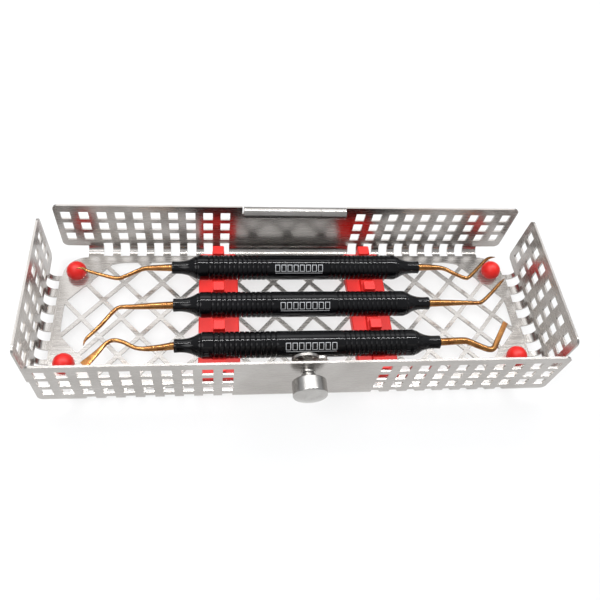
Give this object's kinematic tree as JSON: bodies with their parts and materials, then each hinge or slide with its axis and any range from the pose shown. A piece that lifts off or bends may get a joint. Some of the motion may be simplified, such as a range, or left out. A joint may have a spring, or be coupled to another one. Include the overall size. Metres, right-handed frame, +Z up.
{
  "type": "dental instrument cassette with hand instruments",
  "caption": "Perforated steel instrument cassette with a lattice floor, silicone rails, a lid hinge and a turn latch, holding double-ended periodontal hand instruments.",
  "frame": {"origin": "middle of the bounding box's base, on the plane the silicone feet stand on", "axes": "+X along the instruments, +Y from the latch towards the hinge, +Z up"},
  "size_m": [0.2, 0.081, 0.0325],
  "materials": {
    "sheet_steel": "satin",
    "polished_steel": "polished",
    "silicone": "satin",
    "black_resin": "semi-gloss",
    "gold_coated_steel": "satin gold coating"
  },
  "bodies": {
    "tray": {"tray_floor": "sheet_steel", "wall_front": "sheet_steel", "wall_rear": "sheet_steel", "wall_left": "sheet_steel", "wall_right": "sheet_steel", "bumper_front_left": "silicone", "bumper_rear_left": "silicone", "bumper_front_right": "silicone", "bumper_rear_right": "silicone", "rail_left": "silicone", "rail_right": "silicone", "hinge_pin": "polished_steel", "latch_bush": "polished_steel", "latch_nut": "polished_steel"},
    "lid_leaf": {"lid_hinge_leaf": "sheet_steel"},
    "latch": {"latch_knob": "polished_steel", "latch_spindle": "polished_steel", "latch_washer": "polished_steel", "latch_cam": "polished_steel", "latch_screw": "polished_steel"},
    "instrument_rear": {"rear_handle": "black_resin", "rear_nose_left": "black_resin", "rear_nose_right": "black_resin", "rear_tip_left": "gold_coated_steel", "rear_tip_right": "gold_coated_steel"},
    "instrument_middle": {"middle_handle": "black_resin", "middle_nose_left": "black_resin", "middle_nose_right": "black_resin", "middle_tip_left": "gold_coated_steel", "middle_tip_right": "gold_coated_steel"},
    "instrument_front": {"front_handle": "black_resin", "front_nose_left": "black_resin", "front_nose_right": "black_resin", "front_tip_left": "gold_coated_steel", "front_tip_right": "gold_coated_steel"}
  },
  "joints": [
    {"name": "lid_hinge", "type": "hinge", "parent": "tray", "child": "lid_leaf", "pos_m": [0, 0.03692, 0.0292], "axis": [1, 0, 0], "range_deg": [0, 270]},
    {"name": "latch_turn", "type": "hinge", "parent": "tray", "child": "latch", "pos_m": [0, -0.02753, 0.023], "axis": [0, -1, 0], "range_deg": [0, 90]},
    {"name": "lift_rear_instrument", "type": "slide", "parent": "tray", "child": "instrument_rear", "axis": [0, 0, 1], "range_m": [0, 0.05]},
    {"name": "lift_middle_instrument", "type": "slide", "parent": "tray", "child": "instrument_middle", "axis": [0, 0, 1], "range_m": [0, 0.05]},
    {"name": "lift_front_instrument", "type": "slide", "parent": "tray", "child": "instrument_front", "axis": [0, 0, 1], "range_m": [0, 0.05]}
  ]
}
